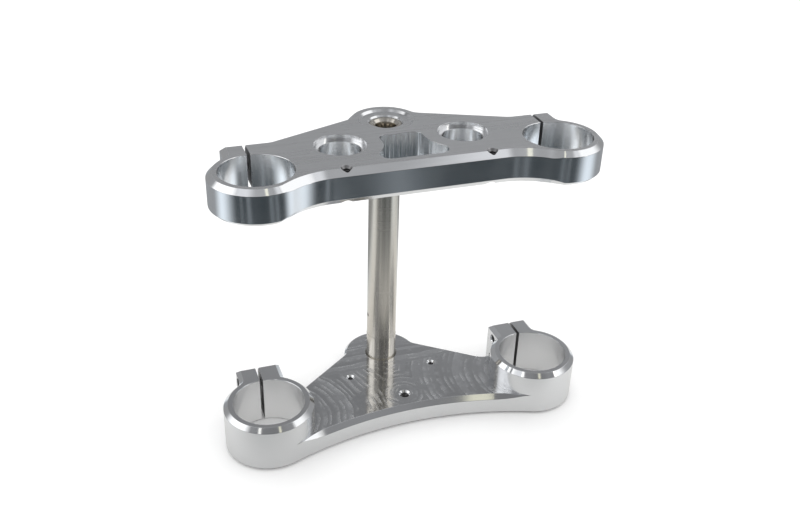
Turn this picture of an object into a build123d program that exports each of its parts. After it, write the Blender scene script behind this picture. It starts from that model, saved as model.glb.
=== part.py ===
"""Billet triple clamp for an upside-down motorcycle fork.

Frame: the steering axis is Z, the fork rings stand on Z = 0, the fork legs lie towards -Y,
and +X points right for someone who faces the clamps from the front. Millimetres.
"""

import os
from math import asin, atan2, cos, degrees, radians, sin, sqrt, tan

from build123d import *

os.makedirs("parts", exist_ok=True)

# Fork and steering geometry
fork_spacing = 229.0        # between the two fork legs
fork_offset = 65.5          # from the steering axis forward to the fork legs
top_fork_dia = 53.0         # fork tube where the top clamp holds it
bottom_fork_dia = 56.0      # fork tube where the bottom clamp holds it
overall_height = 238.0      # from the ring bottoms to the top clamp's upper face
rim_break = 0.4             # edge break on machined rims

# Top clamp
top_thickness = 26.5
top_wall = 7.8              # wall round the fork bore
top_bevel = 3.8             # bevel round the whole plate, on its upper face
under_bevel = 2.6           # and on its lower face
front_bevel = 4.8           # deeper bevel along the front, on both faces
top_reach = 18.2            # straight front edge, ahead of the fork line
top_sweep = 52.0            # concave radius from the front edge into the lobes
top_boss_r = 30.0
top_boss_turn = 20.0        # where the flank meets the boss, degrees round from +X
riser_spacing = 96.0
riser_setback = 26.2        # behind the fork line
riser_dia = 31.0
riser_sink_dia = 38.8
window_reach = 7.5          # window's front edge, ahead of the fork line
window_depth = 43.0
window_wall = 12.1          # metal left between each riser's countersink and the window
window_front_r = 8.0
window_rear_r = 6.0
front_tap_spacing = 109.6
front_tap_dia = 5.0         # tapping drill for M6
front_tap_sink_dia = 8.6
recess_dia = 43.2           # conical recess round the stem end
recess_depth = 2.0
stem_drop = 1.4             # stem end below the recess floor

# Bottom clamp
ring_height = 40.0
ring_wall = 7.5
ring_bevel = 3.5            # bevel on the ring and ear tops
base_bevel = 2.5            # bevel round the underside
web_thickness = 19.0
web_bevel = 3.8             # bevel on the web's front upper edge
web_bevel_end = 70.0        # from the middle to where that bevel starts to die out
web_run_out_r = 70.0        # radius on which it leaves the front edge
web_rear_bevel = 2.0
web_reach = 14.8            # middle of the web's front edge, ahead of the fork line
bottom_boss_r = 32.2
bottom_boss_turn = 11.5
web_toe = 12.8              # step from the ear's inner side to where the flank starts
web_setback = 32.5          # the toe's rear edge, behind the fork line
toe_blend_r = 16.0
web_tap_spacing = 73.2
web_tap_setback = 37.3      # behind the fork line
web_tap_dia = 4.2           # tapping drill for M5
web_tap_sink_dia = 7.4
lock_tap_setback = 2.4
lock_tap_dia = 6.8          # tapping drill for M8
lock_tap_sink_dia = 10.0

# Pinch ears, on both clamps
slot_width = 2.6
ear_outer = 17.0            # outer side, from the fork axis
ear_inner = 19.0            # inner side, from the fork axis
top_ear_reach = 47.5        # rear face, behind the fork line
bottom_ear_reach = 49.0
ear_blend_r = 5.0           # ear side into the round of the clamp
flank_blend_r = 12.0        # ear into the straight flank of the top clamp
boss_blend_r = 8.0          # flank into the boss
pinch_clear_dia = 9.0       # clearance hole for M8
pinch_head_dia = 13.5       # spot face for the bolt head
pinch_head_depth = 4.0
pinch_tap_dia = 6.8         # tapping drill for M8
pinch_tap_depth = 24.0      # beyond the slot, in the top clamp
pinch_sink_dia = 9.2
bottom_pinch_pitch = 20.0   # two bolts in each bottom ring

# Steering stem
stem_dia = 25.0
seat_dia = 25.4             # ground seat for the lower bearing, and the press fit in the web
seat_height = 21.5          # above the web
stem_bore_dia = 14.5        # tapping bore for M16 x 1.5
stem_mouth_dia = 20.5       # countersunk mouth at the top
stem_edge = 0.8
shoulder_dia = 32.0         # shoulder let into the web's underside
shoulder_height = 5.0
cross_hole_dia = 3.2
cross_hole_height = 41.5    # above the web
stem_fit = 0.0              # radial gap in the stem's holes: a light press fit
stem_hole_break = 1.3

# Places worked out from the sizes above
half_span = fork_spacing / 2
fork_y = -fork_offset
lobe_r = top_fork_dia / 2 + top_wall
ring_r = bottom_fork_dia / 2 + ring_wall
top_floor = overall_height - top_thickness
recess_floor = overall_height - recess_depth
stem_top = recess_floor - stem_drop
front_y = fork_y - top_reach
top_ear_y = fork_y + top_ear_reach
bottom_ear_y = fork_y + bottom_ear_reach
toe_y = fork_y + web_setback
top_pinch_y = fork_y + (top_fork_dia / 2 + top_ear_reach) / 2
bottom_pinch_y = fork_y + (bottom_fork_dia / 2 + bottom_ear_reach) / 2
top_pinch_z = top_floor + top_thickness / 2
bottom_pinch_zs = [ring_height / 2 - bottom_pinch_pitch / 2, ring_height / 2 + bottom_pinch_pitch / 2]

# The top clamp's front edge turns through this angle before it runs into the lobe.
top_turn = degrees(atan2(sqrt((lobe_r + top_sweep) ** 2 - (top_reach + top_sweep) ** 2),
                         top_reach + top_sweep))
top_sweep_x = half_span - (lobe_r + top_sweep) * sin(radians(top_turn))

# Each side of the window is an arc round a riser hole, and a corner arc touches it at each end.
riser_x = riser_spacing / 2
riser_y = fork_y + riser_setback
window_side_r = riser_sink_dia / 2 + window_wall
window_y = fork_y - window_reach
window_rear_y = window_y + window_depth
front_lean = degrees(asin((riser_y - window_y - window_front_r) / (window_side_r + window_front_r)))
rear_lean = degrees(asin((riser_y - window_rear_y + window_rear_r) / (window_side_r + window_rear_r)))
front_x = riser_x - (window_side_r + window_front_r) * cos(radians(front_lean))
rear_x = riser_x - (window_side_r + window_rear_r) * cos(radians(rear_lean))

# The web's front edge is one arc that touches both rings.
web_sweep = (half_span**2 + web_reach**2 - ring_r**2) / (2 * (ring_r - web_reach))
web_turn = degrees(asin(half_span / (web_sweep + ring_r)))


def both_corners(plan, spot):
    """The corner of a mirrored plan at this spot, and its twin on the other side."""
    return plan.vertices().filter_by(lambda v: abs(abs(v.X) - spot.X) + abs(v.Y - spot.Y) < 1e-3)


def rims(builder, radius):
    """All round edges of this radius."""
    return builder.edges().filter_by(GeomType.CIRCLE).filter_by(lambda e: abs(e.radius - radius) < 1e-4)


# Top clamp: one plate, drawn for one side and mirrored, bevelled all round, then machined.
with BuildPart() as top_clamp:
    with BuildSketch(Plane.XY.offset(top_floor)) as top_plan:
        with BuildLine():
            Line((0, front_y), (top_sweep_x, front_y))
            CenterArc((top_sweep_x, front_y - top_sweep), top_sweep, 90, -top_turn)
            foot = degrees(asin(ear_outer / lobe_r))
            lobe = CenterArc((half_span, fork_y), lobe_r, -90 - top_turn, 180 + top_turn - foot)
            side = Line(lobe @ 1, (half_span + ear_outer, top_ear_y))
            rear = Line(side @ 1, (half_span - ear_inner, top_ear_y))
            boss = CenterArc((0, 0), top_boss_r, top_boss_turn, 90 - top_boss_turn)
            Line(rear @ 1, boss @ 0)
            mirror(about=Plane.YZ)
        make_face()
        fillet(both_corners(top_plan, lobe @ 1), ear_blend_r)
        fillet(both_corners(top_plan, rear @ 1), flank_blend_r)
        fillet(both_corners(top_plan, boss @ 0), boss_blend_r)
    extrude(amount=top_thickness)
    chamfer(top_clamp.faces().sort_by(Axis.Z)[-1].edges(), top_bevel)
    chamfer(top_clamp.faces().sort_by(Axis.Z)[0].edges(), under_bevel)

    # A deeper pass bevels the front from lobe to lobe, and runs off them along their tangents.
    with BuildPart(mode=Mode.PRIVATE) as front_pass:
        with BuildSketch(Plane.XY.offset(overall_height)) as pass_plan:
            pass_y = front_y + front_bevel
            pass_r = top_sweep + front_bevel
            pass_x = top_sweep_x + pass_r * tan(radians(top_turn / 2))
            run_off = top_sweep / tan(radians(top_turn))
            with BuildLine():
                Polyline((-pass_x - run_off, pass_y - top_sweep), (-pass_x, pass_y), (pass_x, pass_y),
                         (pass_x + run_off, pass_y - top_sweep), close=True)
            make_face()
            fillet(pass_plan.vertices().group_by(Axis.Y)[-1], pass_r)
        extrude(amount=front_bevel, dir=(0, 0, -1), taper=45)
    mid_plate = Plane.XY.offset(top_floor + top_thickness / 2)
    add(front_pass.part, mode=Mode.SUBTRACT)
    add(mirror(front_pass.part, about=mid_plate, mode=Mode.PRIVATE), mode=Mode.SUBTRACT)

    # Fork bores, riser holes and the front tapped holes go right through. The tapped holes are
    # countersunk on both faces, half in the bevel.
    with Locations((-half_span, fork_y, overall_height), (half_span, fork_y, overall_height)):
        Hole(top_fork_dia / 2)
    chamfer(rims(top_clamp, top_fork_dia / 2), rim_break)
    with Locations((0, riser_y, overall_height)):
        with GridLocations(riser_spacing, 1, 2, 1):
            CounterSinkHole(riser_dia / 2, riser_sink_dia / 2, counter_sink_angle=90)
    for face_z, out in ((overall_height, 1), (top_floor, -1)):
        with Locations(Plane((0, front_y + front_bevel, face_z), x_dir=(1, 0, 0), z_dir=(0, 0, out))):
            with GridLocations(front_tap_spacing, 1, 2, 1):
                CounterSinkHole(front_tap_dia / 2, front_tap_sink_dia / 2, top_thickness, 90)

    # Lightening window between the risers. Its sides run round the riser holes.
    with BuildSketch(Plane.XY.offset(overall_height)):
        with BuildLine():
            Line((0, window_y), (front_x, window_y))
            CenterArc((front_x, window_y + window_front_r), window_front_r, -90, 90 + front_lean)
            CenterArc((riser_x, riser_y), window_side_r, 180 + front_lean, rear_lean - front_lean)
            CenterArc((rear_x, window_rear_y - window_rear_r), window_rear_r, rear_lean, 90 - rear_lean)
            Line((rear_x, window_rear_y), (0, window_rear_y))
            mirror(about=Plane.YZ)
        make_face()
    extrude(amount=-top_thickness, mode=Mode.SUBTRACT)

    # Stem hole in the boss, inside a shallow conical recess.
    with Locations((0, 0, overall_height)):
        Cone(recess_dia / 2 - recess_depth, recess_dia / 2, recess_depth,
             align=(Align.CENTER, Align.CENTER, Align.MAX), mode=Mode.SUBTRACT)
        Hole(stem_dia / 2 + stem_fit)
    chamfer(rims(top_clamp, stem_dia / 2 + stem_fit).sort_by(Axis.Z)[-1], stem_hole_break)

    # Each ear is split from its bore, drilled from outside and tapped beyond the split.
    for hand in (-1, 1):
        with Locations((hand * half_span, fork_y, top_floor)):
            Box(slot_width, top_ear_reach, top_thickness,
                align=(Align.CENTER, Align.MIN, Align.MIN), mode=Mode.SUBTRACT)
        ear_face = (hand * (half_span + ear_outer), top_pinch_y, top_pinch_z)
        with Locations(Plane(ear_face, z_dir=(hand, 0, 0))):
            CounterBoreHole(pinch_clear_dia / 2, pinch_head_dia / 2, pinch_head_depth, ear_outer)
            Hole(pinch_tap_dia / 2, ear_outer + pinch_tap_depth)


# Bottom clamp: a web with a rear boss between two tall rings, all out of one billet.
with BuildPart() as bottom_clamp:
    with BuildSketch() as web_plan:
        with BuildLine():
            CenterArc((0, fork_y - web_reach - web_sweep), web_sweep, 90, -web_turn)
            foot = degrees(asin(ear_outer / ring_r))
            ring = CenterArc((half_span, fork_y), ring_r, -90 - web_turn, 180 + web_turn - foot)
            side = Line(ring @ 1, (half_span + ear_outer, bottom_ear_y))
            rear = Line(side @ 1, (half_span - ear_inner, bottom_ear_y))
            inner = Line(rear @ 1, (half_span - ear_inner, toe_y))
            toe = Line(inner @ 1, (half_span - ear_inner - web_toe, toe_y))
            boss = CenterArc((0, 0), bottom_boss_r, bottom_boss_turn, 90 - bottom_boss_turn)
            Line(toe @ 1, boss @ 0)
            mirror(about=Plane.YZ)
        make_face()
        fillet(both_corners(web_plan, ring @ 1), ear_blend_r)
        fillet(both_corners(web_plan, toe @ 1), toe_blend_r)
        fillet(both_corners(web_plan, boss @ 0), boss_blend_r)
    extrude(amount=web_thickness)
    chamfer(bottom_clamp.faces().sort_by(Axis.Z)[0].edges(), base_bevel)
    upper_edges = bottom_clamp.faces().sort_by(Axis.Z)[-1].edges()
    upper_edges = upper_edges.filter_by(lambda e: (e @ 0.5).Y > toe_y - 0.1)
    chamfer(upper_edges.filter_by(lambda e: abs((e @ 0.5).X) < (inner @ 1).X - 0.1), web_rear_bevel)

    # The bevel on the web's front edge dies out to a point before each ring.
    with BuildSketch(Plane.XY.offset(web_thickness)) as web_pass:
        end_turn = degrees(asin(web_bevel_end / web_sweep))
        end_drop = (web_sweep - web_run_out_r) * cos(radians(end_turn))
        end_x = web_bevel_end * (1 - web_run_out_r / web_sweep)
        sweep_y = fork_y - web_reach - web_sweep
        with BuildLine():
            CenterArc((0, sweep_y), web_sweep + web_bevel, 90, -end_turn)
            run_out = CenterArc((end_x, sweep_y + end_drop), web_run_out_r + web_bevel,
                                90 - end_turn, end_turn - 90)
            Line(run_out @ 1, (0, (run_out @ 1).Y))
            mirror(about=Plane.YZ)
        make_face()
    extrude(amount=web_bevel, dir=(0, 0, -1), taper=45, mode=Mode.SUBTRACT)

    # The rings and their ears stand taller than the web.
    ring_start = web_thickness / 2
    for hand in (-1, 1):
        with BuildPart(mode=Mode.PRIVATE) as tower:
            with BuildSketch(Plane.XY.offset(ring_start)) as tower_plan:
                with Locations((half_span, fork_y)):
                    Circle(ring_r)
                with Locations((half_span - ear_inner, fork_y)):
                    Rectangle(ear_inner + ear_outer, bottom_ear_reach, align=(Align.MIN, Align.MIN))
                fillet(both_corners(tower_plan, ring @ 1), ear_blend_r)
            extrude(amount=ring_height - ring_start)
            chamfer(tower.faces().sort_by(Axis.Z)[-1].edges(), ring_bevel)
        add(tower.part if hand > 0 else mirror(tower.part, about=Plane.YZ, mode=Mode.PRIVATE))

    with Locations((-half_span, fork_y, ring_height), (half_span, fork_y, ring_height)):
        Hole(bottom_fork_dia / 2)
    chamfer(rims(bottom_clamp, bottom_fork_dia / 2), rim_break)

    # Tapped holes in the web, and the stem's hole with its shoulder pocket below.
    with Locations((0, fork_y + web_tap_setback, web_thickness)):
        with GridLocations(web_tap_spacing, 1, 2, 1):
            CounterSinkHole(web_tap_dia / 2, web_tap_sink_dia / 2, counter_sink_angle=90)
    with Locations((0, fork_y + lock_tap_setback, web_thickness)):
        CounterSinkHole(lock_tap_dia / 2, lock_tap_sink_dia / 2, counter_sink_angle=90)
    with Locations(Plane((0, 0, 0), z_dir=(0, 0, -1))):
        CounterBoreHole(seat_dia / 2 + stem_fit, shoulder_dia / 2 + stem_fit, shoulder_height,
                        web_thickness)
    chamfer(rims(bottom_clamp, seat_dia / 2 + stem_fit).sort_by(Axis.Z)[-1], stem_hole_break)

    for hand in (-1, 1):
        with Locations((hand * half_span, fork_y, 0)):
            Box(slot_width, bottom_ear_reach, ring_height,
                align=(Align.CENTER, Align.MIN, Align.MIN), mode=Mode.SUBTRACT)
        for bolt_z in bottom_pinch_zs:
            ear_face = (hand * (half_span + ear_outer), bottom_pinch_y, bolt_z)
            with Locations(Plane(ear_face, z_dir=(hand, 0, 0))):
                CounterBoreHole(pinch_clear_dia / 2, pinch_head_dia / 2, pinch_head_depth, ear_outer)
            tap_face = (hand * (half_span - ear_inner), bottom_pinch_y, bolt_z)
            with Locations(Plane(tap_face, z_dir=(-hand, 0, 0))):
                CounterSinkHole(pinch_tap_dia / 2, pinch_sink_dia / 2, ear_inner, 90)


# Steering stem: a turned tube, pushed up through the web until its shoulder seats.
with BuildPart() as steering_stem:
    with BuildSketch(Plane.XZ):
        with BuildLine():
            bore_r, mouth_r = stem_bore_dia / 2, stem_mouth_dia / 2
            seat_top = web_thickness + seat_height
            Polyline(
                (bore_r, 0),
                (shoulder_dia / 2, 0),
                (shoulder_dia / 2, shoulder_height),
                (seat_dia / 2, shoulder_height),
                (seat_dia / 2, seat_top),
                (stem_dia / 2, seat_top + (seat_dia - stem_dia) / 2),
                (stem_dia / 2, stem_top - stem_edge),
                (stem_dia / 2 - stem_edge, stem_top),
                (mouth_r, stem_top),
                (bore_r, stem_top - (mouth_r - bore_r)),
                close=True,
            )
        make_face()
    revolve(axis=Axis.Z)
    with Locations(Plane((0, 0, web_thickness + cross_hole_height), z_dir=(1, 0, 0))):
        Cylinder(cross_hole_dia / 2, 2 * stem_dia, mode=Mode.SUBTRACT)

top_clamp.part.label = "top_clamp"
bottom_clamp.part.label = "bottom_clamp"
steering_stem.part.label = "steering_stem"

export_step(top_clamp.part, "parts/top_clamp.step")
export_step(bottom_clamp.part, "parts/bottom_clamp.step")
export_step(steering_stem.part, "parts/steering_stem.step")
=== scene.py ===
from math import copysign, cos, hypot, pi, radians, sin

import bmesh
import bpy
from mathutils import Matrix, Vector


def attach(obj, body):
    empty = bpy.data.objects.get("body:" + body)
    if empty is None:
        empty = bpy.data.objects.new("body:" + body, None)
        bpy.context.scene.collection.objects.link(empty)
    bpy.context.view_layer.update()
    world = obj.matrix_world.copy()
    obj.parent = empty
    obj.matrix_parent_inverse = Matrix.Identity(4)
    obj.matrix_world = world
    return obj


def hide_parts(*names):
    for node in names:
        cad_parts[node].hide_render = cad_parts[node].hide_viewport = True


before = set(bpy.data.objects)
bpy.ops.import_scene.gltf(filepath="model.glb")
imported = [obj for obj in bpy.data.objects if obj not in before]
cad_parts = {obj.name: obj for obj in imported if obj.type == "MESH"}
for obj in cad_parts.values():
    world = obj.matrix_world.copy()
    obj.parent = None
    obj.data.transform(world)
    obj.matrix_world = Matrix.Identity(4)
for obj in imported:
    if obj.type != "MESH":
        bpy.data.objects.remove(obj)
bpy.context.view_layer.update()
scene = bpy.context.scene
scene.view_settings.view_transform = "Standard"


# Bottom clamp: one aluminium billet with two tall split rings for the fork legs and a thin web
# that carries the stem. It is milled all over: the web's top in passes that run round the rings,
# the rings bored and slit at the rear, and every edge broken with a small chamfer tool.

fork_x, fork_y = 0.1145, -0.0655
ring_bore_radius, ring_radius = 0.028, 0.0355
web_height = 0.019
slit_half = 0.0013
bottom_edge_break = 0.0002
bottom_pinch_y, bottom_pinch_heights = -0.027, (0.010, 0.030)
pinch_tap_radius, pinch_clearance_radius, pinch_seat_radius = 0.0034, 0.0045, 0.00675
ear_reach = 0.024
web_tap_x, web_tap_y = 0.0366, -0.0282
lock_tap_y = -0.0631
web_tap_reach = 0.0036
flank_end, sink_mark_radius = 0.09, 0.0045
stem_hole_reach = 0.0145

merge_gap, flat_angle, sharp_angle = 1e-6, radians(0.15), radians(18)


def settle(piece):
    """Turns a piece's modifiers into plain mesh."""
    depsgraph = bpy.context.evaluated_depsgraph_get()
    settled = bpy.data.meshes.new_from_object(piece.evaluated_get(depsgraph), depsgraph=depsgraph)
    piece.modifiers.clear()
    piece.data = settled
    settled.name = piece.name


def machined_copy(node, name, edge_break, recut=None):
    """A merged copy of a solid's mesh with its sharp edges broken, as the last tool leaves them."""
    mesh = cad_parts[node].data.copy()
    mesh.name = name
    mesh.attributes.remove(mesh.attributes["custom_normal"])
    mesh.materials.clear()
    shape = bmesh.new()
    shape.from_mesh(mesh)
    bmesh.ops.remove_doubles(shape, verts=shape.verts, dist=merge_gap)
    bmesh.ops.dissolve_limit(shape, angle_limit=flat_angle, verts=shape.verts, edges=shape.edges)
    if recut:
        recut(shape)
    for face in shape.faces:
        face.smooth = True
    for edge in shape.edges:
        edge.smooth = edge.calc_face_angle(0.0) < sharp_angle
    shape.to_mesh(mesh)
    shape.free()
    piece = bpy.data.objects.new(name, mesh)
    scene.collection.objects.link(piece)
    broken = piece.modifiers.new("edge_break", "BEVEL")
    broken.limit_method = "ANGLE"
    broken.angle_limit = sharp_angle
    broken.width = edge_break
    broken.segments = 2
    broken.harden_normals = True
    broken.use_clamp_overlap = False
    settle(piece)
    return piece


def put(tree, kind, inputs=None, **settings):
    """Adds a node; each input is a plain value or the output that feeds it."""
    made = tree.nodes.new(kind)
    for key, value in settings.items():
        setattr(made, key, value)
    for key, value in (inputs or {}).items():
        if isinstance(value, bpy.types.NodeSocket):
            tree.links.new(value, made.inputs[key])
        else:
            made.inputs[key].default_value = value
    return made


def figure(tree, operation, *values):
    """The result of one sum on numbers in a node tree."""
    return put(tree, "ShaderNodeMath", dict(enumerate(values)), operation=operation).outputs[0]


def spot_figure(tree, operation, *values):
    """The result of one sum on places in a node tree; DISTANCE and LENGTH give a number."""
    made = put(tree, "ShaderNodeVectorMath", dict(enumerate(values)), operation=operation)
    return made.outputs["Value" if operation in ("DISTANCE", "LENGTH") else "Vector"]


def ramp(tree, value, low, high):
    """Runs smoothly from 0 to 1 while the value goes from low to high."""
    return put(tree, "ShaderNodeMapRange", {"Value": value, "From Min": low, "From Max": high},
               interpolation_type="SMOOTHSTEP").outputs["Result"]


def blend(tree, factor, low, high):
    """A colour between two, each given as a colour or as the output that makes it."""
    made = put(tree, "ShaderNodeMix", {"Factor": factor}, data_type="RGBA")
    for end, colour in (("A", low), ("B", high)):
        if isinstance(colour, bpy.types.NodeSocket):
            tree.links.new(colour, made.inputs[end])
        else:
            made.inputs[end].default_value = (*colour, 1)
    return made.outputs["Result"]


def noise(tree, place, scale, detail=4.0):
    """Cloudy marks; a scale for each axis draws them out along the axes where it is small."""
    along = put(tree, "ShaderNodeMapping", {"Vector": place, "Scale": scale}).outputs[0]
    return put(tree, "ShaderNodeTexNoise", {"Vector": along, "Scale": 1.0, "Detail": detail,
                                            "Roughness": 0.6}).outputs["Fac"]


def bare_metal(name):
    """A new metal with its node tree, its shader and the part's own coordinates."""
    made = bpy.data.materials.new(name)
    made.use_nodes = True
    shader = made.node_tree.nodes["Principled BSDF"]
    shader.inputs["Metallic"].default_value = 1.0
    place = put(made.node_tree, "ShaderNodeTexCoord").outputs["Object"]
    return made, made.node_tree, shader, place


def dress(tree, shader, colour, spread, rough, marks, height, depth):
    """Feeds a surface's marks into its colour, roughness and bump."""
    darker = [channel * (1 - spread) for channel in colour]
    lighter = [min(1, channel * (1 + spread)) for channel in colour]
    tree.links.new(blend(tree, marks, darker, lighter), shader.inputs["Base Color"])
    tree.links.new(rough, shader.inputs["Roughness"])
    bump = put(tree, "ShaderNodeBump", {"Strength": 1.0, "Distance": depth, "Height": height})
    tree.links.new(bump.outputs["Normal"], shader.inputs["Normal"])


fine_mark_smear = 0.85
mark_range, rough_range = (0.3, 0.7), (0.85, 1.15)


def cut_metal(name, colour, roughness, lay, depth, spread=0.03, haze_scale=45.0, smear=None):
    """A cut surface whose tool marks run along the axes where the lay is small, under a faint haze.
    Where the marks are too fine to see, they smear the reflections along one axis."""
    made, tree, shader, place = bare_metal(name)
    if smear:
        shader.inputs["Anisotropic"].default_value = fine_mark_smear
        across = put(tree, "ShaderNodeCombineXYZ", dict(enumerate(smear)))
        tree.links.new(across.outputs[0], shader.inputs["Tangent"])
    marks = noise(tree, place, lay)
    haze = noise(tree, place, (haze_scale,) * 3, 3.0)
    both = figure(tree, "MULTIPLY_ADD", haze, 0.5, figure(tree, "MULTIPLY", marks, 0.5))
    rough = put(tree, "ShaderNodeMapRange",
                {"Value": both, "From Min": mark_range[0], "From Max": mark_range[1],
                 "To Min": roughness * rough_range[0], "To Max": roughness * rough_range[1]})
    dress(tree, shader, colour, spread, rough.outputs["Result"], both, marks, depth)
    return made


aluminium = (0.74, 0.75, 0.765)
pass_width, pass_depth, pass_spread = 0.0052, 4.5e-5, 0.17
pass_wander, pass_corner, pass_start = 0.006, 0.002, 0.1
lock_pass_start, boss_pass_y = -0.045, -0.021
drift_scale, uneven_scale, uneven_share = 40.0, 110.0, 1.6
break_scale, swirl_scale = (75, 75, 75), (350, 350, 350)


def pass_milled_metal(name):
    """The web's top: cutter passes round the rings and the lock's tapped hole, straight over the boss."""
    made, tree, shader, place = bare_metal(name)

    # How far the cutter has come from the ring or hole that it circles, with a little wander.
    drift = put(tree, "ShaderNodeTexNoise", {"Vector": place, "Scale": drift_scale, "Detail": 3.0})
    wander = spot_figure(tree, "SUBTRACT", drift.outputs["Color"], (0.5, 0.5, 0.5))
    moved = spot_figure(tree, "ADD", place, spot_figure(tree, "MULTIPLY", wander, (pass_wander,) * 3))
    flat = spot_figure(tree, "MULTIPLY", moved, (1, 1, 0))
    travel = None
    for x, y, start in ((-fork_x, fork_y, ring_radius), (fork_x, fork_y, ring_radius),
                        (0, lock_tap_y, lock_pass_start)):
        gap = figure(tree, "SUBTRACT", spot_figure(tree, "DISTANCE", flat, (x, y, 0)), start)
        travel = gap if travel is None else figure(tree, "SMOOTH_MIN", travel, gap, pass_corner)
    back = put(tree, "ShaderNodeSeparateXYZ", {0: flat}).outputs["Y"]
    over_boss = figure(tree, "GREATER_THAN", back, boss_pass_y)
    travel = put(tree, "ShaderNodeMix", {"Factor": over_boss, "A": travel, "B": back}).outputs["Result"]

    # Passes of uneven width, each with its own shade.
    uneven = put(tree, "ShaderNodeTexNoise", {"W": travel, "Scale": uneven_scale, "Detail": 1.0},
                 noise_dimensions="1D").outputs["Fac"]
    passes = figure(tree, "DIVIDE", figure(tree, "ADD", travel, pass_start), pass_width)
    passes = figure(tree, "MULTIPLY_ADD", uneven, uneven_share, passes)
    side = figure(tree, "FRACT", passes)
    shade = put(tree, "ShaderNodeTexWhiteNoise", {"W": figure(tree, "FLOOR", passes)},
                noise_dimensions="1D").outputs["Value"]

    # A cusp along one side of each pass, broken here and there, and fine swirls between.
    broken = ramp(tree, noise(tree, place, break_scale, 3.0), 0.4, 0.62)
    cusp = figure(tree, "MULTIPLY", ramp(tree, side, 0.25, 1.0), broken)
    swirl = noise(tree, moved, swirl_scale)
    marks = figure(tree, "MULTIPLY_ADD", ramp(tree, swirl, 0.45, 0.7), 0.12, cusp)
    rough = figure(tree, "MULTIPLY_ADD", shade, 0.06, 0.06)
    rough = figure(tree, "MULTIPLY_ADD", marks, 0.26, rough)
    height = figure(tree, "MULTIPLY_ADD", swirl, 0.1, marks)
    # Colour: a random tone for each pass, with the cusps and swirls painted lighter, a painted highlight
    # for the light their slopes catch.
    tone_and_painted_sheen = figure(tree, "MULTIPLY_ADD", shade, 0.6, figure(tree, "MULTIPLY", marks, 0.5))
    dress(tree, shader, aluminium, pass_spread, rough, tone_and_painted_sheen, height, pass_depth)
    return made


upright = (0, 0, 1)
pass_milled = pass_milled_metal("pass_milled")
ring_faced = cut_metal("ring_faced", aluminium, 0.12, (300, 300, 300), 1e-6)
# Bore walls: the aluminium painted lighter, a painted light for the light that bounces round inside the
# bores.
bored_painted_light = cut_metal("bored_painted_light", (0.84, 0.845, 0.855), 0.24, (25, 25, 300), 1e-8, 0.02, smear=upright)
side_milled = cut_metal("side_milled", aluminium, 0.22, (14, 14, 900), 5e-7, 0.08, smear=upright)
chamfered = cut_metal("chamfered", aluminium, 0.09, (90, 90, 90), 4e-7, 0.015)
# Slit walls: the aluminium painted dark, a painted shade in the narrow slits. The bottom clamp's underside
# chamfers take it too, as a painted contact shadow.
slit_painted_shade = cut_metal("slit_painted_shade", (0.36, 0.36, 0.37), 0.5, (30, 30, 900), 6e-6)
# Holes, their countersinks and their threads: the aluminium painted dark, a painted shade for the inside
# of each hole.
drilled_painted_dark = cut_metal("drilled_painted_dark", (0.24, 0.24, 0.245), 0.35, (30, 30, 1500), 4e-6)

level_facing, slope_facing, side_facing, square_facing = 0.985, 0.2, 0.3, 0.9
face_slack, wall_slack, slit_slack = 0.0004, 0.0003, 0.0002


def finish_faces(piece, choose):
    """Gives each face its finish, chosen by the way it faces and where it lies; some finishes are copies
    of one metal painted lighter or darker for light and shade.
    """
    slots = {}
    for face in piece.data.polygons:
        finish = choose(face.normal, face.center)
        if finish not in slots:
            slots[finish] = len(slots)
            piece.data.materials.append(finish)
        face.material_index = slots[finish]


def from_hole(at, x, y):
    """How far a face lies from the axis of an upright hole, or of the nearer one of a mirrored pair."""
    return hypot(abs(at.x) - x, at.y - y)


def slit_wall(at):
    """Whether a face lies in the slit that splits a clamp behind its fork bore."""
    return abs(abs(at.x) - fork_x) < slit_half + slit_slack and at.y > fork_y


def pinch_drilling(facing, at, bolt_y, heights):
    """Whether a face is the wall of a pinch bolt's hole, so square to the bolt and at one of its radii."""
    if abs(facing.x) > side_facing or abs(abs(at.x) - fork_x) > ear_reach:
        return False
    for z in heights:
        away = hypot(at.y - bolt_y, at.z - z)
        faces_bolt = facing.y * (at.y - bolt_y) + facing.z * (at.z - z) < -square_facing * away
        radii = (pinch_tap_radius, pinch_clearance_radius, pinch_seat_radius)
        if faces_bolt and min(abs(away - radius) for radius in radii) < face_slack:
            return True
    return False


def bottom_finish(facing, at):
    """The finish of one face of the bottom clamp. Chamfers underneath take the slits' dark finish, a
    painted contact shadow.
    """
    if pinch_drilling(facing, at, bottom_pinch_y, bottom_pinch_heights):
        return drilled_painted_dark
    if abs(facing.z) > level_facing:
        return pass_milled if abs(at.z - web_height) < face_slack else ring_faced
    beside_lower_tap = abs(at.x) < flank_end and abs(at.z - bottom_pinch_heights[0]) < sink_mark_radius
    if beside_lower_tap and facing.y > side_facing:
        return side_milled
    if facing.z > slope_facing and from_hole(at, 0, 0) < stem_hole_reach:
        return pass_milled
    if abs(facing.z) > slope_facing:
        # Downward chamfers get the slits' painted dark, a painted contact shadow at the floor.
        return chamfered if facing.z > 0 else slit_painted_shade
    if from_hole(at, fork_x, fork_y) < ring_bore_radius + wall_slack:
        return bored_painted_light
    if slit_wall(at):
        return slit_painted_shade
    if min(from_hole(at, web_tap_x, web_tap_y), from_hole(at, 0, lock_tap_y)) < web_tap_reach:
        return drilled_painted_dark
    return side_milled


bottom = machined_copy("bottom_clamp", "milled_bottom_clamp", bottom_edge_break)
finish_faces(bottom, bottom_finish)
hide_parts("bottom_clamp")
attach(bottom, "root")


# Threads in the bottom clamp: two M5 and one M8 in the web, and two M8 in the inner half of each
# pair of ears. They are cut with taps, so each one is a single ridge that winds round its hole.

web_tap_radius, web_tap_pitch = 0.0021, 0.0008
lock_tap_radius, lock_tap_pitch = 0.0034, 0.00125
pinch_tap_pitch = 0.00125
web_thread = (0.0006, 0.0170)
bottom_pinch_thread = (0.0971, 0.1128)
steps_in_turn, ridge_sides, ridge_share = 28, 4, 0.34

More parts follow.
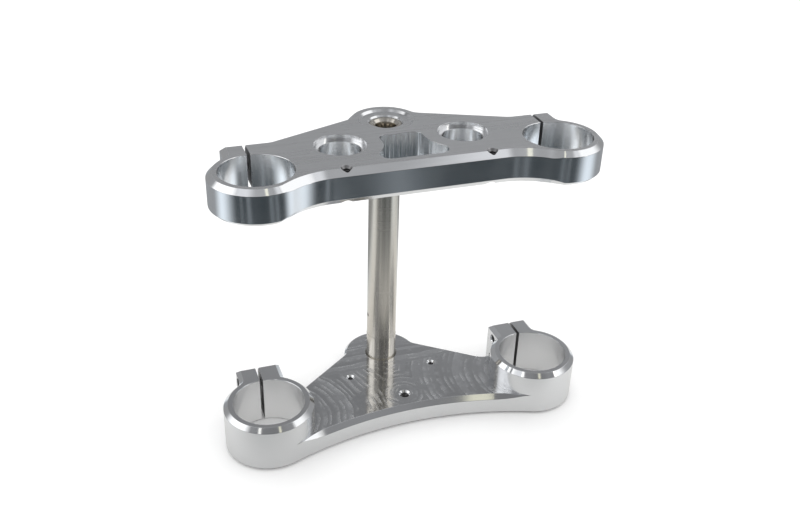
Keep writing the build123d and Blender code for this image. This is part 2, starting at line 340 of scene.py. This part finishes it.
thread_tree = bpy.data.node_groups.new("tapped_thread", "GeometryNodeTree")
for socket_name, socket_kind in (("Geometry", "Geometry"), ("Radius", "Float"), ("Pitch", "Float"),
                                 ("Length", "Float"), ("Metal", "Material")):
    thread_tree.interface.new_socket(socket_name, in_out="INPUT", socket_type="NodeSocket" + socket_kind)
thread_tree.interface.new_socket("Geometry", in_out="OUTPUT", socket_type="NodeSocketGeometry")
given = put(thread_tree, "NodeGroupInput").outputs
helix = put(thread_tree, "GeometryNodeCurveSpiral",
            {"Resolution": steps_in_turn, "Start Radius": given["Radius"], "End Radius": given["Radius"],
             "Rotations": figure(thread_tree, "DIVIDE", given["Length"], given["Pitch"]),
             "Height": given["Length"]})
ridge = put(thread_tree, "GeometryNodeCurvePrimitiveCircle",
            {"Resolution": ridge_sides,
             "Radius": figure(thread_tree, "MULTIPLY", given["Pitch"], ridge_share)})
wound = put(thread_tree, "GeometryNodeCurveToMesh",
            {"Curve": helix.outputs[0], "Profile Curve": ridge.outputs[0], "Fill Caps": True})
axis = put(thread_tree, "GeometryNodeInputNamedAttribute", {"Name": "axis"}, data_type="FLOAT_VECTOR")
turned = put(thread_tree, "FunctionNodeAlignRotationToVector", {"Vector": axis.outputs[0]}, axis="Z")
placed = put(thread_tree, "GeometryNodeInstanceOnPoints",
             {"Points": given["Geometry"], "Instance": wound.outputs[0], "Rotation": turned.outputs[0]})
solid = put(thread_tree, "GeometryNodeRealizeInstances", {0: placed.outputs[0]})
dressed = put(thread_tree, "GeometryNodeSetMaterial",
              {"Geometry": solid.outputs[0], "Material": given["Metal"]})
put(thread_tree, "NodeGroupOutput", {0: dressed.outputs[0]})


def tapped_thread(name, starts, radius, pitch, length, metal):
    """One thread in each hole, from a start point along an axis."""
    mesh = bpy.data.meshes.new(name)
    mesh.from_pydata([point for point, _ in starts], [], [])
    along = mesh.attributes.new("axis", "FLOAT_VECTOR", "POINT")
    for spot, (_, way) in zip(along.data, starts):
        spot.vector = way
    piece = bpy.data.objects.new(name, mesh)
    scene.collection.objects.link(piece)
    tap = piece.modifiers.new("tap", "NODES")
    tap.node_group = thread_tree
    sizes = {"Radius": radius, "Pitch": pitch, "Length": length, "Metal": metal}
    for item in thread_tree.interface.items_tree:
        if item.in_out == "INPUT" and item.name in sizes:
            tap[item.identifier] = sizes[item.name]
    settle(piece)
    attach(piece, "root")


# The threads take the painted dark of the holes they sit in.
tapped_thread("web_tap_threads",
              [((hand * web_tap_x, web_tap_y, web_thread[0]), upright) for hand in (-1, 1)],
              web_tap_radius, web_tap_pitch, web_thread[1] - web_thread[0], drilled_painted_dark)
tapped_thread("lock_tap_thread", [((0, lock_tap_y, web_thread[0]), upright)],
              lock_tap_radius, lock_tap_pitch, web_thread[1] - web_thread[0], drilled_painted_dark)
tapped_thread("bottom_pinch_threads",
              [((hand * bottom_pinch_thread[0], bottom_pinch_y, z), (hand, 0, 0))
               for hand in (-1, 1) for z in bottom_pinch_heights],
              pinch_tap_radius, pinch_tap_pitch, bottom_pinch_thread[1] - bottom_pinch_thread[0],
              drilled_painted_dark)


# Steering stem: a turned steel tube, pressed up through the web until its shoulder seats against
# the underside. The lower bearing's seat is ground, and fine turning marks run round the rest.

steel = (0.63, 0.6, 0.545)
stem_edge_break = 0.00015
seat_radius, seat_top = 0.0127, 0.0405
stem_bore_radius, stem_rim = 0.00725, 0.0015
mouth_foot, mouth_depth = 0.2316, 0.0046
lead_in_facing, wall_facing = (0.1, 0.9), 0.5
point_slack = 0.0002

turned_steel = cut_metal("turned_steel", steel, 0.26, (8, 8, 2600), 1e-8, 0.03, 6.0, upright)
ground_steel = cut_metal("ground_steel", steel, 0.2, (10, 10, 3200), 1e-8, 0.02, 6.0, upright)
# The bore's wall: the steel painted dark, a painted shade inside the bore.
bored_steel_painted_dark = cut_metal("bored_steel_painted_dark", (0.34, 0.325, 0.295), 0.3, (30, 30, 1500), 4e-6)
# The mouth's lead-in: the steel painted a little darker, a painted shade in the mouth, with a glossier
# turning.
mouth_steel_painted_dark = cut_metal("mouth_steel_painted_dark", (0.58, 0.55, 0.5), 0.1, (60, 60, 900), 4e-7, 0.05)


def deepen_mouth(shape):
    """Runs the mouth's lead-in deeper into the bore, so that it is steeper than the solid's."""
    for point in shape.verts:
        at_foot = abs(point.co.z - mouth_foot) < point_slack
        if at_foot and from_hole(point.co, 0, 0) < stem_bore_radius + point_slack:
            point.co.z -= mouth_depth
    shape.normal_update()


def stem_finish(facing, at):
    """The finish of one face of the stem."""
    out = from_hole(at, 0, 0)
    in_mouth = at.z > mouth_foot - mouth_depth and out < seat_radius - stem_rim
    if in_mouth and lead_in_facing[0] < facing.z < lead_in_facing[1]:
        return mouth_steel_painted_dark
    if out < stem_bore_radius + wall_slack and abs(facing.z) < wall_facing:
        return bored_steel_painted_dark
    return ground_steel if at.z < seat_top and out > seat_radius - wall_slack else turned_steel


stem = machined_copy("steering_stem", "turned_stem", stem_edge_break, deepen_mouth)
finish_faces(stem, stem_finish)
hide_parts("steering_stem")
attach(stem, "root")


# Thread in the stem's mouth: M16 x 1.5, cut in the steel from the top end, for the bolt that
# holds the top clamp down. It starts below the lead-in.

mouth_pitch = 0.0015
mouth_thread = (0.2013, 0.2264)

# The thread takes the bore's painted dark steel.
tapped_thread("stem_mouth_thread", [((0, 0, mouth_thread[0]), upright)], stem_bore_radius, mouth_pitch,
              mouth_thread[1] - mouth_thread[0], bored_steel_painted_dark)


# Top clamp: one aluminium plate, faced on top and milled round its outline, with a deeper bevel
# along the front. It is bored for the fork legs, and the risers' holes are counterbored. It drops
# over the top of the stem.

top_bore_radius = 0.0265
top_edge_break = 0.0002
top_pinch_y, top_pinch_z = -0.0285, 0.22475
riser_x, riser_y = 0.048, -0.0393
riser_seat_radius, riser_seat_z, plate_top = 0.0194, 0.2341, 0.238
window_half, window_reach = 0.027, (-0.0735, -0.0295)
front_tap_x, front_tap_y = 0.0548, -0.0789
front_tap_reach, front_sink_reach = 0.0027, 0.0041

faced = cut_metal("faced", aluminium, 0.28, (4, 200, 4), 3e-7, 0.25, 14.0, smear=(0, 1, 0))
# Window walls: the aluminium painted lighter, a painted light for the light inside the window; their
# stripes are the cutter's marks.
window_milled_painted_light = cut_metal("window_milled_painted_light", (0.86, 0.865, 0.875), 0.17, (300, 300, 0.3), 7e-4, 0.2,
                          smear=upright)
# Fork bores and riser counterbore walls: the aluminium painted lighter still, a painted light for the
# light inside them.
top_bored_painted_light = cut_metal("top_bored_painted_light", (0.94, 0.945, 0.955), 0.24, (25, 25, 300), 1e-8, 0.02, smear=upright)


def square_seats(shape):
    """Squares each riser hole's countersink out into a counterbore with the same rim and depth, by
    moving the ring of points halfway down the sink into the corner."""
    for point in shape.verts:
        hole = Vector((copysign(riser_x, point.co.x), riser_y))
        out = point.co.xy - hole
        halfway = riser_seat_z + point_slack < point.co.z < plate_top - point_slack
        if halfway and out.length < riser_seat_radius - point_slack:
            point.co.xy = hole + out.normalized() * riser_seat_radius
            point.co.z = riser_seat_z
    shape.normal_update()


def top_finish(facing, at):
    """The finish of one face of the top clamp."""
    if pinch_drilling(facing, at, top_pinch_y, (top_pinch_z,)):
        return drilled_painted_dark
    from_fork = from_hole(at, fork_x, fork_y)
    from_riser = from_hole(at, riser_x, riser_y)
    from_tap = from_hole(at, front_tap_x, front_tap_y)
    if abs(facing.z) > level_facing:
        return ring_faced if from_riser < riser_seat_radius else faced
    if abs(facing.z) > slope_facing:
        return drilled_painted_dark if from_tap < front_sink_reach else chamfered
    if from_fork < top_bore_radius + wall_slack or from_riser < riser_seat_radius + wall_slack:
        return top_bored_painted_light
    if slit_wall(at):
        return slit_painted_shade
    if from_tap < front_tap_reach:
        return drilled_painted_dark
    if abs(at.x) < window_half and window_reach[0] < at.y < window_reach[1]:
        return window_milled_painted_light
    return side_milled


top = machined_copy("top_clamp", "milled_top_clamp", top_edge_break, square_seats)
finish_faces(top, top_finish)
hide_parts("top_clamp")
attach(top, "root")


# Threads in the top clamp: an M6 down through each side of the front edge, and an M8 in each inner
# ear for the pinch bolt. They are tapped in the aluminium, as in the bottom clamp.

front_tap_radius, front_tap_pitch = 0.0025, 0.001
front_thread = (0.2146, 0.2349)
top_pinch_thread = (0.0912, 0.1128)

tapped_thread("front_tap_threads",
              [((hand * front_tap_x, front_tap_y, front_thread[0]), upright) for hand in (-1, 1)],
              front_tap_radius, front_tap_pitch, front_thread[1] - front_thread[0], drilled_painted_dark)
tapped_thread("top_pinch_threads",
              [((hand * top_pinch_thread[0], top_pinch_y, top_pinch_z), (hand, 0, 0)) for hand in (-1, 1)],
              pinch_tap_radius, pinch_tap_pitch, top_pinch_thread[1] - top_pinch_thread[0],
              drilled_painted_dark)


# Studio: a white paper floor inside a light tent. Lamps outside light its two side walls, two strips
# of its roof and a slit beside its open front. Only the metal sees the paper's painted light and shade:
# painted light near the part and at the sides, painted shade towards the open front, far off and at
# the back, past the lamps, and a painted glow inside the fork rings.

floor_reach, floor_z, floor_centre_y = 6.0, -0.0002, -0.05
white_paper, near_paper_painted_light, side_paper_painted_light = (0.96, 0.96, 0.96), (0.74, 0.735, 0.72), (0.82, 0.9, 0.97)
far_paper_painted_shade, back_paper_painted_shade, front_paper_painted_shade = (0.23, 0.23, 0.235), (0.27, 0.28, 0.29), (0.025, 0.034, 0.04)
front_from, front_to = (radians(-95), radians(-62)), (radians(60), radians(32))
back_left, back_right = (radians(-93), radians(-116)), (radians(64), radians(92))


def flat_sheet(name, corners):
    """A flat sheet of the studio, which is no part of the thing itself."""
    mesh = bpy.data.meshes.new(name)
    mesh.from_pydata(corners, [], [(0, 1, 2, 3)])
    sheet = bpy.data.objects.new(name, mesh)
    scene.collection.objects.link(sheet)
    made = bpy.data.materials.new(name)
    made.use_nodes = True
    made.node_tree.nodes.remove(made.node_tree.nodes["Principled BSDF"])
    mesh.materials.append(made)
    place = put(made.node_tree, "ShaderNodeTexCoord").outputs["Object"]
    return sheet, made.node_tree, place


floor_corners = [(x * floor_reach, y * floor_reach, floor_z)
                 for x, y in ((-1, -1), (1, -1), (1, 1), (-1, 1))]
_, tree, place = flat_sheet("white_floor", floor_corners)
seen = put(tree, "ShaderNodeLightPath").outputs
away = put(tree, "ShaderNodeMapping",
           {"Vector": place, "Location": (0, -floor_centre_y, 0), "Scale": (0.5, 1, 0)})
away = spot_figure(tree, "LENGTH", away.outputs[0])
spot = put(tree, "ShaderNodeMapping",
           {"Vector": place, "Location": (0, floor_centre_y, 0), "Scale": (1, -1, 0)})
spot = put(tree, "ShaderNodeSeparateXYZ", {0: spot.outputs[0]}).outputs
bearing = figure(tree, "ARCTAN2", spot["X"], spot["Y"])

# Painted shade on the paper as the metal sees it: dark towards the open front, thinned in streaks, and dim
# at the back.
painted_front_shade_mask = figure(tree, "MULTIPLY", ramp(tree, bearing, *front_from), ramp(tree, bearing, *front_to))
streaks = put(tree, "ShaderNodeTexNoise", {"W": bearing, "Scale": 5.0, "Detail": 2.0},
              noise_dimensions="1D").outputs["Fac"]
thinned = figure(tree, "MULTIPLY_ADD", ramp(tree, streaks, 0.5, 0.7), -0.3, 1.0)
painted_front_shade_mask = figure(tree, "MULTIPLY", figure(tree, "MULTIPLY", painted_front_shade_mask, thinned),
                  ramp(tree, away, 0.03, 0.27))
painted_back_shade_mask = figure(tree, "ADD", ramp(tree, bearing, *back_left), ramp(tree, bearing, *back_right))
painted_back_shade_mask = figure(tree, "MULTIPLY", painted_back_shade_mask, ramp(tree, away, 0.17, 0.26))

# Painted light and shade by distance: light near the part and at the sides, dim far off.
painted_mirrored_paper = blend(tree, ramp(tree, away, 0.1, 0.3), near_paper_painted_light, side_paper_painted_light)
painted_mirrored_paper = blend(tree, ramp(tree, away, 0.5, 0.9), painted_mirrored_paper, far_paper_painted_shade)
painted_mirrored_paper = blend(tree, painted_back_shade_mask, painted_mirrored_paper, back_paper_painted_shade)
painted_mirrored_paper = blend(tree, painted_front_shade_mask, painted_mirrored_paper, front_paper_painted_shade)
tint = blend(tree, seen["Is Glossy Ray"], white_paper, painted_mirrored_paper)

# A painted glow on the paper inside each fork ring, seen only by the metal, brightens what the bores
# mirror.
folded = spot_figure(tree, "ABSOLUTE", place)
painted_ring_glow_mask = ramp(tree, spot_figure(tree, "DISTANCE", folded, (fork_x, -fork_y, 0)), 0.03, 0.024)
mirrored_glow_and_painted_ring_light = figure(tree, "MULTIPLY_ADD", painted_ring_glow_mask, 0.18, 0.07)
through = figure(tree, "MULTIPLY_ADD", seen["Is Glossy Ray"], mirrored_glow_and_painted_ring_light, 0.08)
matt = put(tree, "ShaderNodeBsdfDiffuse", {"Color": tint})
glow = put(tree, "ShaderNodeEmission", {"Color": tint, "Strength": through})
paper = put(tree, "ShaderNodeAddShader", {0: matt.outputs[0], 1: glow.outputs[0]})
tree.links.new(paper.outputs[0], tree.nodes["Material Output"].inputs["Surface"])


x_axis, y_axis, z_axis = range(3)


def lit_sheet(name, facing, at, spans, colour):
    """A lit sheet of the tent, square to one axis. Each span fades in and out, and only metal sees it."""
    first, second = [axis for axis in (x_axis, y_axis, z_axis) if axis != facing]
    corners = []
    for one_end, other_end in ((0, 0), (3, 0), (3, 3), (0, 3)):
        corner = [0.0, 0.0, 0.0]
        corner[facing], corner[first], corner[second] = at, spans[0][one_end], spans[1][other_end]
        corners.append(corner)
    sheet, tree, place = flat_sheet(name, corners)
    sheet.visible_camera = sheet.visible_diffuse = sheet.visible_shadow = False
    spot = put(tree, "ShaderNodeSeparateXYZ", {0: place}).outputs
    level = 1.0
    for axis, span in ((first, spans[0]), (second, spans[1])):
        level = figure(tree, "MULTIPLY", level, ramp(tree, spot[axis], span[0], span[1]))
        level = figure(tree, "MULTIPLY", level, ramp(tree, spot[axis], span[3], span[2]))
    clear = put(tree, "ShaderNodeBsdfTransparent")
    glow = put(tree, "ShaderNodeEmission", {"Color": (*colour, 1), "Strength": 1.0})
    both = put(tree, "ShaderNodeMixShader", {0: level, 1: clear.outputs[0], 2: glow.outputs[0]})
    tree.links.new(both.outputs[0], tree.nodes["Material Output"].inputs["Surface"])


lit_sheet("left_wall", x_axis, -1.4, ((-0.75, -0.15, 0.75, 1.25), (0.3, 0.7, 1.4, 2.8)), (1.6, 1.6, 1.6))
lit_sheet("right_wall", x_axis, 1.4, ((-1.35, -0.9, 0.3, 0.7), (0.5, 1.0, 1.9, 2.9)), (1.3, 1.3, 1.3))
lit_sheet("left_roof", z_axis, 2.0, ((-1.9, -1.4, -0.9, -0.3), (-1.2, -0.9, -0.5, -0.2)),
          (0.92, 0.93, 0.96))
lit_sheet("front_slit", y_axis, -1.0, ((1.05, 1.12, 1.3, 1.38), (0.55, 0.7, 1.1, 1.25)), (3.2, 3.1, 2.9))
lit_sheet("right_roof", z_axis, 2.3, ((0.7, 1.1, 1.6, 2.0), (-1.7, -1.4, -0.9, -0.6)), (0.9, 0.91, 0.93))

lamp_distance = 1.5


def gap_lamp(name, turn, rise, width, height, radiance, colour):
    """A lamp seen through a gap in the tent, at a turn from the front and a rise over the table."""
    turn, rise = radians(turn), radians(rise)
    place = Vector((sin(turn) * cos(rise), -cos(turn) * cos(rise), sin(rise))) * lamp_distance
    lamp = bpy.data.lights.new(name, "AREA")
    lamp.shape = "RECTANGLE"
    lamp.size, lamp.size_y = width, height
    lamp.energy = radiance * pi * width * height
    lamp.color = colour
    gap = bpy.data.objects.new(name, lamp)
    gap.location = place
    gap.rotation_euler = place.to_track_quat("Z", "Y").to_euler()
    gap.visible_camera = False
    scene.collection.objects.link(gap)


gap_lamp("left_gap", -43, 49, 0.13, 0.42, 1.0, (1, 0.99, 0.94))
gap_lamp("right_gap", 9.5, 54, 0.105, 0.7, 0.68, (1, 0.97, 0.72))

room_glow = (1.15, 1.15, 1.15)
room_foot, room_top = (0.36, 0.36, 0.36), (0.3, 0.303, 0.31)
room_shades = ((0.3, 0.37), (0.5, 0.41), (0.62, 0.24), (0.7, 0.31), (0.79, 0.2), (0.86, 0.46),
               (0.91, 0.5), (0.95, 0.27))
room_tint = (1, 1.01, 1.03)

world = bpy.data.worlds.new("studio")
scene.world = world
world.use_nodes = True
tree = world.node_tree
ray = put(tree, "ShaderNodeTexCoord").outputs["Generated"]
way = put(tree, "ShaderNodeSeparateXYZ", {0: ray}).outputs
room = put(tree, "ShaderNodeValToRGB", {0: way["Z"]})
steps = room.color_ramp.elements
steps[0].position, steps[0].color = 0.0, (*room_foot, 1)
steps[1].position, steps[1].color = 1.0, (*room_top, 1)
for position, shade in room_shades:
    steps.new(position).color = (*[shade * channel for channel in room_tint], 1)
open_front = figure(tree, "MULTIPLY_ADD", ramp(tree, way["Y"], -0.8, -0.62), 0.55, 0.45)
room = blend(tree, open_front, (0, 0, 0), room.outputs["Color"])
seen = put(tree, "ShaderNodeLightPath").outputs
shown = blend(tree, seen["Is Glossy Ray"], room_glow, room)
tree.links.new(shown, tree.nodes["Background"].inputs["Color"])


# Camera: a 42 mm lens on a sensor 36 mm wide, at the left front and above the part. It looks down
# by 30 degrees and is tilted by under two.

camera_at = Vector((-0.2222, -0.6405, 0.5022))
turn, rise, lean = radians(-20.37), radians(30.17), radians(1.83)
lens_back = Vector((sin(turn) * cos(rise), -cos(turn) * cos(rise), sin(rise)))
level_right = Vector((cos(turn), sin(turn), 0.0))
level_up = lens_back.cross(level_right)
view_right = level_right * cos(lean) + level_up * sin(lean)
view_up = level_up * cos(lean) - level_right * sin(lean)
lens = bpy.data.cameras.new("camera")
lens.sensor_width = 36.0
lens.lens = 42.0
lens.clip_start = 0.01
camera = bpy.data.objects.new("camera", lens)
camera.matrix_world = (Matrix.Translation(camera_at)
                       @ Matrix((view_right, view_up, lens_back)).transposed().to_4x4())
scene.collection.objects.link(camera)
scene.camera = camera
